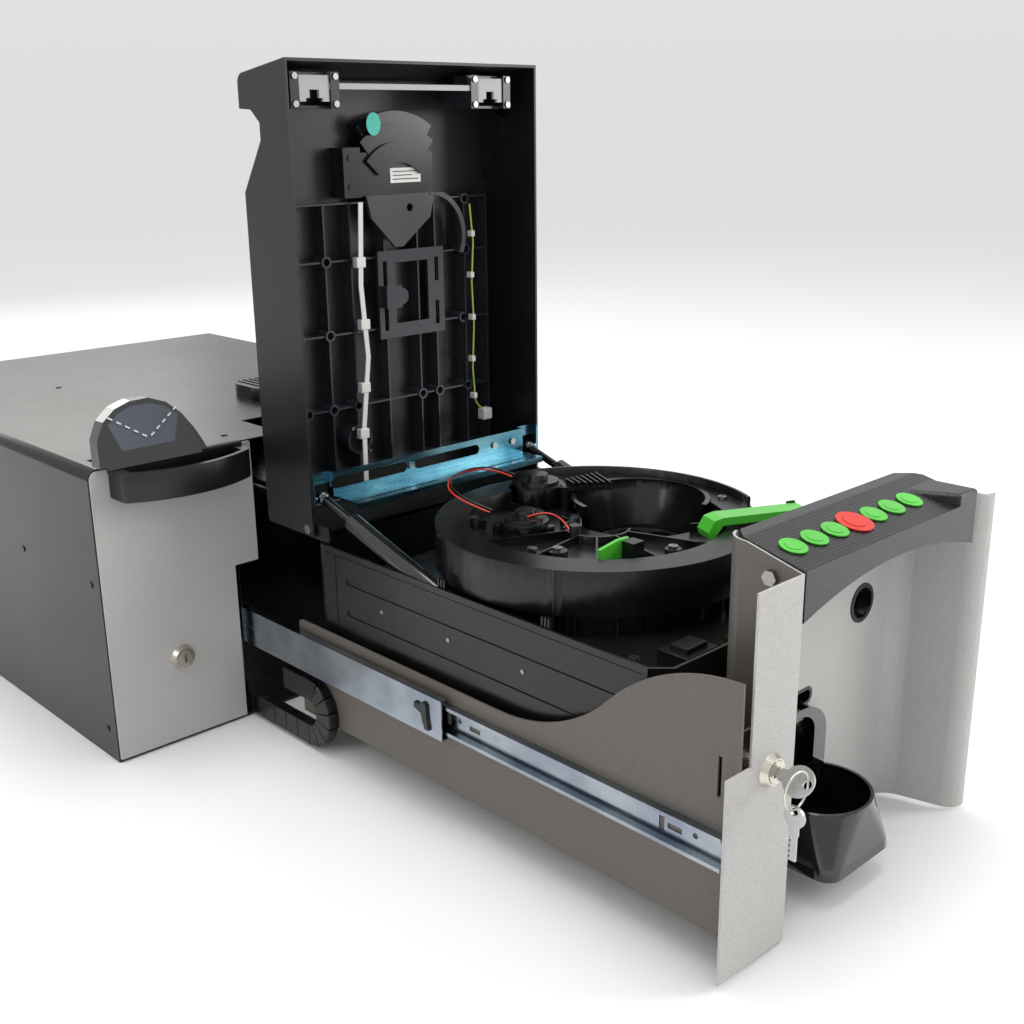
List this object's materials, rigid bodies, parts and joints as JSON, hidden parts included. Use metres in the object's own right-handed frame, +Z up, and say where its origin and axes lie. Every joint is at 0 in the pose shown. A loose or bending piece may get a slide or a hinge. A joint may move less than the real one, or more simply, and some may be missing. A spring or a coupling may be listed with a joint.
{
  "type": "coin sorting machine",
  "caption": "Till-side steel cabinet with a banknote drawer and a pulled-out coin drawer that carries a coin sorter with a raised lid, a return cup and a lock.",
  "frame": {"origin": "centre of the cabinet's base, on the surface that it stands on", "axes": "+X to the right seen from the front, +Y to the back of the cabinet, +Z up; the coin drawer comes out along -Y"},
  "size_m": [0.4938, 1.248, 0.633],
  "materials": {
    "black_powder_coat": "satin",
    "grey_powder_coat": "satin",
    "bronze_powder_coat": "satin",
    "zinc_plate": "satin",
    "blue_zinc": "satin",
    "screw_steel": "polished",
    "satin_nickel": "satin",
    "black_moulding": "matte",
    "grey_moulding": "satin",
    "printed_black": "layered",
    "gloss_black": "gloss",
    "smoked_window": "gloss",
    "module_grey": "matte",
    "green_plastic": "satin",
    "white_plastic": "satin",
    "spring_black": "gloss",
    "spring_rod_steel": "polished",
    "green_wire": "satin",
    "red_wire": "satin"
  },
  "bodies": {
    "cabinet": {"cabinet_shell": "black_powder_coat", "base_pan": "black_powder_coat", "rear_panel": "black_powder_coat", "bay_divider": "black_powder_coat", "slide_outers": "zinc_plate", "cabinet_screws": "screw_steel", "roof_grip": "black_moulding", "energy_chain": "black_moulding"},
    "note_drawer": {"note_front_panel": "grey_powder_coat", "note_handle": "black_moulding", "note_bezel": "gloss_black", "note_window": "smoked_window", "note_tray": "black_powder_coat", "note_recycler": "module_grey", "note_lock_rosette": "satin_nickel", "note_slide_inners": "zinc_plate"},
    "note_slide_mid": {"note_slide_middles": "zinc_plate"},
    "note_lock": {"note_lock_barrel": "satin_nickel"},
    "coin_drawer": {"coin_front_panel": "grey_powder_coat", "coin_tray": "bronze_powder_coat", "coin_inlet_bezel": "printed_black", "coin_cup": "gloss_black", "coin_chute": "gloss_black", "port_rings": "black_moulding", "drawer_fasteners": "screw_steel", "coin_lock_rosette": "satin_nickel", "coin_slide_inners": "zinc_plate", "machine_case": "black_moulding", "machine_deck": "black_moulding", "sorting_ring": "black_moulding", "sorting_bowl": "black_moulding", "gear_motor_front": "black_moulding", "gear_motor_rear": "black_moulding", "motor_lead": "red_wire"},
    "coin_slide_mid": {"coin_slide_middles": "zinc_plate"},
    "coin_lock": {"coin_lock_barrel": "satin_nickel", "lock_key": "satin_nickel"},
    "hanging_keys": {"key_ring": "satin_nickel", "spare_key": "satin_nickel"},
    "release_left": {"release_lever_left": "black_moulding"},
    "release_right": {"release_lever_right": "black_moulding"},
    "disc": {"sorting_disc": "black_moulding"},
    "green_left": {"green_lever_left": "green_plastic"},
    "green_right": {"green_lever_right": "green_plastic"},
    "thumb_lever": {"ribbed_lever": "black_moulding"},
    "lid": {"lid_shell": "black_moulding", "lid_ribs": "grey_moulding", "hinge_bracket": "blue_zinc", "latch_guides": "grey_moulding", "coin_checker": "grey_moulding", "coin_guide": "grey_moulding", "guide_frame": "grey_moulding", "lid_ribbon_cable": "white_plastic", "lid_earth_wire": "green_wire", "lid_screws": "screw_steel"},
    "latch": {"latch_slider": "white_plastic"},
    "spring_tube_left": {"gas_tube_left": "spring_black"},
    "spring_rod_left": {"gas_piston_left": "spring_rod_steel"},
    "spring_tube_right": {"gas_tube_right": "spring_black"},
    "spring_rod_right": {"gas_piston_right": "spring_rod_steel"}
  },
  "joints": [
    {"name": "note_drawer_slide", "type": "slide", "parent": "cabinet", "child": "note_drawer", "axis": [0, -1, 0], "range_m": [0, 0.42]},
    {"name": "note_slide_mid_slide", "type": "slide", "parent": "cabinet", "child": "note_slide_mid", "axis": [0, -1, 0], "range_m": [0, 0.21]},
    {"name": "note_lock_turn", "type": "hinge", "parent": "note_drawer", "child": "note_lock", "pos_m": [-0.1714, -0.3073, 0.0873], "axis": [0, 1, 0], "range_deg": [0, 90]},
    {"name": "coin_drawer_slide", "type": "slide", "parent": "cabinet", "child": "coin_drawer", "axis": [0, 1, 0], "range_m": [0, 0.02], "deforming": ["energy_chain"]},
    {"name": "coin_slide_mid_slide", "type": "slide", "parent": "cabinet", "child": "coin_slide_mid", "axis": [0, 1, 0], "range_m": [0, 0.01]},
    {"name": "coin_lock_turn", "type": "hinge", "parent": "coin_drawer", "child": "coin_lock", "pos_m": [-0.0548, -0.905, 0.1526], "axis": [0, 1, 0], "range_deg": [-45, 45]},
    {"name": "key_ring_swing", "type": "hinge", "parent": "coin_lock", "child": "hanging_keys", "pos_m": [-0.0548, -0.935, 0.1526], "axis": [0, 1, 0], "range_deg": [-40, 0]},
    {"name": "release_left_tilt", "type": "hinge", "parent": "coin_slide_mid", "child": "release_left", "pos_m": [-0.09925, -0.585, 0.1047], "axis": [1, 0, 0], "range_deg": [-8, 8]},
    {"name": "release_right_tilt", "type": "hinge", "parent": "coin_slide_mid", "child": "release_right", "pos_m": [0.24385, -0.585, 0.1047], "axis": [1, 0, 0], "range_deg": [-8, 8]},
    {"name": "disc_turn", "type": "hinge", "parent": "coin_drawer", "child": "disc", "pos_m": [0.14, -0.618, 0.199], "axis": [0, 0, 1], "continuous": true},
    {"name": "green_left_lift", "type": "hinge", "parent": "coin_drawer", "child": "green_left", "pos_m": [0.0275, -0.701, 0.2345], "axis": [0, -1, 0], "range_deg": [-18, 0]},
    {"name": "green_right_lift", "type": "hinge", "parent": "coin_drawer", "child": "green_right", "pos_m": [0.195, -0.752, 0.251], "axis": [-0.3907, -0.9205, 0], "range_deg": [-40, 0]},
    {"name": "thumb_lever_turn", "type": "hinge", "parent": "coin_drawer", "child": "thumb_lever", "pos_m": [0.103, -0.558, 0.2292], "axis": [0, 0, 1], "range_deg": [-8, 8]},
    {"name": "lid_hinge", "type": "hinge", "parent": "coin_drawer", "child": "lid", "pos_m": [0.069, -0.397, 0.216], "axis": [1, 0, 0], "range_deg": [0, 90]},
    {"name": "latch_lift", "type": "slide", "parent": "lid", "child": "latch", "axis": [0, 0, 1], "range_m": [0, 0.006], "stiffness_N_per_m": 300, "springref_m": -0.003},
    {"name": "spring_left_tilt", "type": "hinge", "parent": "coin_drawer", "child": "spring_tube_left", "pos_m": [-0.065, -0.635, 0.172], "axis": [1, 0, 0], "range_deg": [-8.1, 0]},
    {"name": "spring_left_stroke", "type": "slide", "parent": "spring_tube_left", "child": "spring_rod_left", "axis": [0, 0.9519, 0.3063], "range_m": [-0.031, 0]},
    {"name": "spring_right_tilt", "type": "hinge", "parent": "coin_drawer", "child": "spring_tube_right", "pos_m": [0.2035, -0.635, 0.172], "axis": [1, 0, 0], "range_deg": [-8.1, 0]},
    {"name": "spring_right_stroke", "type": "slide", "parent": "spring_tube_right", "child": "spring_rod_right", "axis": [0, 0.9519, 0.3063], "range_m": [-0.031, 0]}
  ],
  "couplings": [
    {"joint": "note_slide_mid_slide", "follows": "note_drawer_slide", "ratio": 0.5},
    {"joint": "coin_slide_mid_slide", "follows": "coin_drawer_slide", "ratio": 0.5},
    {"joint": "spring_left_tilt", "follows": "lid_hinge", "ratio": -0.089},
    {"joint": "spring_left_stroke", "follows": "lid_hinge", "m_per_rad": -0.0194},
    {"joint": "spring_right_tilt", "follows": "lid_hinge", "ratio": -0.089},
    {"joint": "spring_right_stroke", "follows": "lid_hinge", "m_per_rad": -0.0194}
  ]
}
